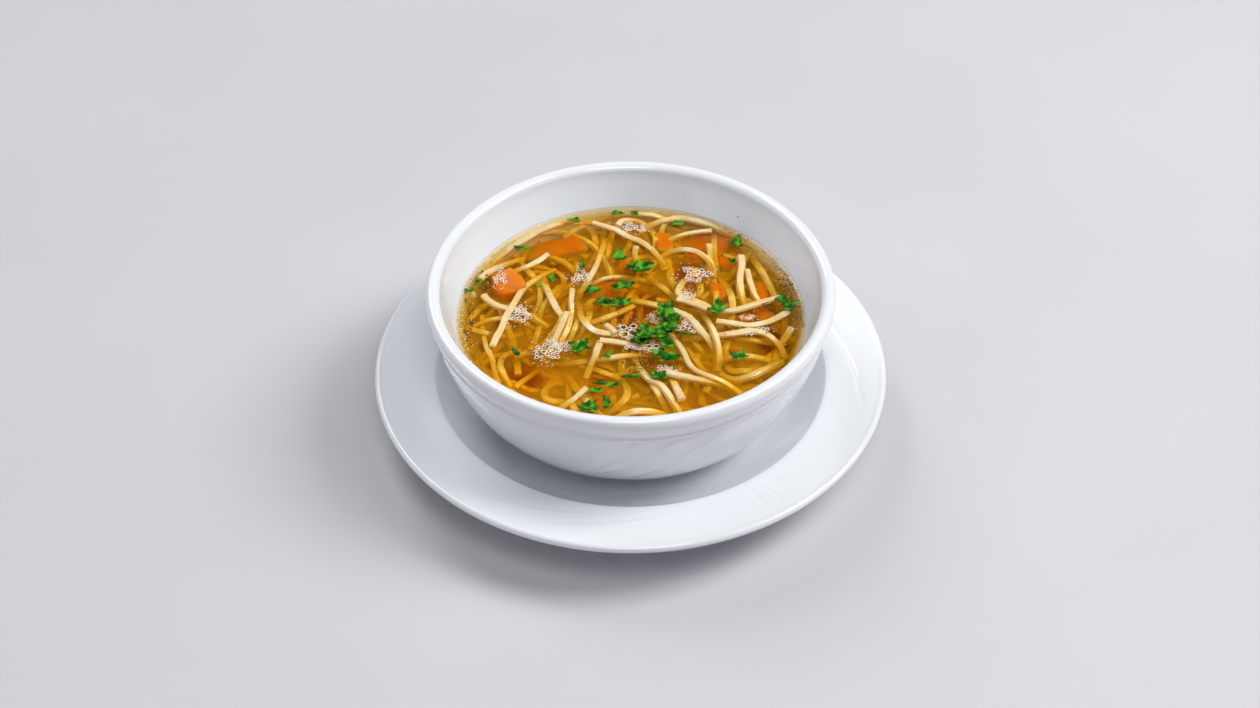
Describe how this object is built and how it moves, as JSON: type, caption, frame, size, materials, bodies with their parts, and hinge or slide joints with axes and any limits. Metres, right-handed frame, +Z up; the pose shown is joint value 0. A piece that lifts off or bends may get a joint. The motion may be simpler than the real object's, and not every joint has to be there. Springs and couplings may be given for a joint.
{
  "type": "chicken noodle soup in a bowl on a saucer",
  "caption": "Chicken noodle soup with carrot and herbs in a round white porcelain bowl that stands on its matching saucer.",
  "frame": {"origin": "centre of the saucer's foot ring, on the surface that the saucer stands on", "axes": "+Z up along the axis of the bowl and saucer; the bowl's and saucer's relief starts towards -Y, the side that is seen first"},
  "size_m": [0.1818, 0.1818, 0.0575],
  "materials": {
    "porcelain": "clear gloss glaze over white porcelain",
    "broth": "clear amber liquid",
    "noodles": "wet, soft wheat noodle",
    "carrot": "wet cooked carrot",
    "herb": "wet chopped parsley leaf",
    "foam": "thin bubbles and fat droplets on the broth",
    "speck": "ground pepper and glaze pinholes"
  },
  "bodies": {
    "root": {"saucer": "porcelain", "bowl": "porcelain", "broth": "broth", "noodles": "noodles", "carrot": "carrot"}
  },
  "joints": []
}
